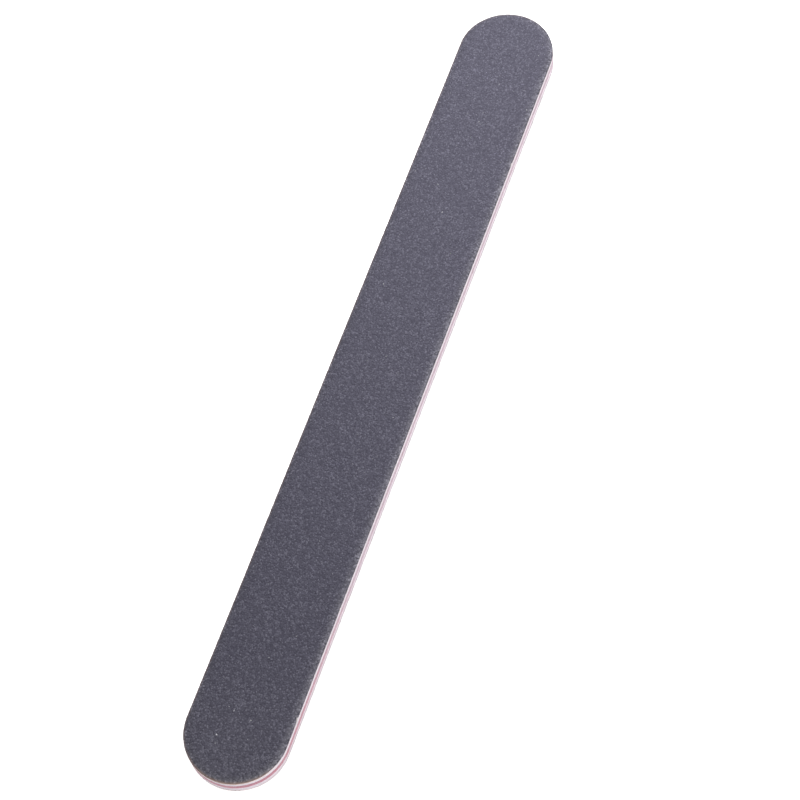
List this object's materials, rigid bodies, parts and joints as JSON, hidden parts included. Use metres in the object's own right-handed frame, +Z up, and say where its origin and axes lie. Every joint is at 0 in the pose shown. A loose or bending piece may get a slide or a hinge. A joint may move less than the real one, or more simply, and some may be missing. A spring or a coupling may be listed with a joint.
{
  "type": "emery board",
  "caption": "Round-ended cushioned nail file: a plastic core between foam pads, faced on both sides with dark abrasive paper.",
  "frame": {"origin": "centre of the lower abrasive face, on the surface that the board lies on", "axes": "+X along the board's length, +Y across its width, +Z up through its thickness"},
  "size_m": [0.178, 0.02, 0.0045],
  "materials": {
    "abrasive": "matte",
    "backing_paper": "matte",
    "adhesive": "satin",
    "foam": "matte",
    "core": "satin"
  },
  "bodies": {
    "root": {"upper_abrasive_coat": "abrasive", "upper_backing_paper": "backing_paper", "upper_paper_adhesive": "adhesive", "upper_foam_pad": "foam", "upper_core_adhesive": "adhesive", "core": "core", "lower_core_adhesive": "adhesive", "lower_foam_pad": "foam", "lower_paper_adhesive": "adhesive", "lower_backing_paper": "backing_paper", "lower_abrasive_coat": "abrasive"}
  },
  "joints": []
}
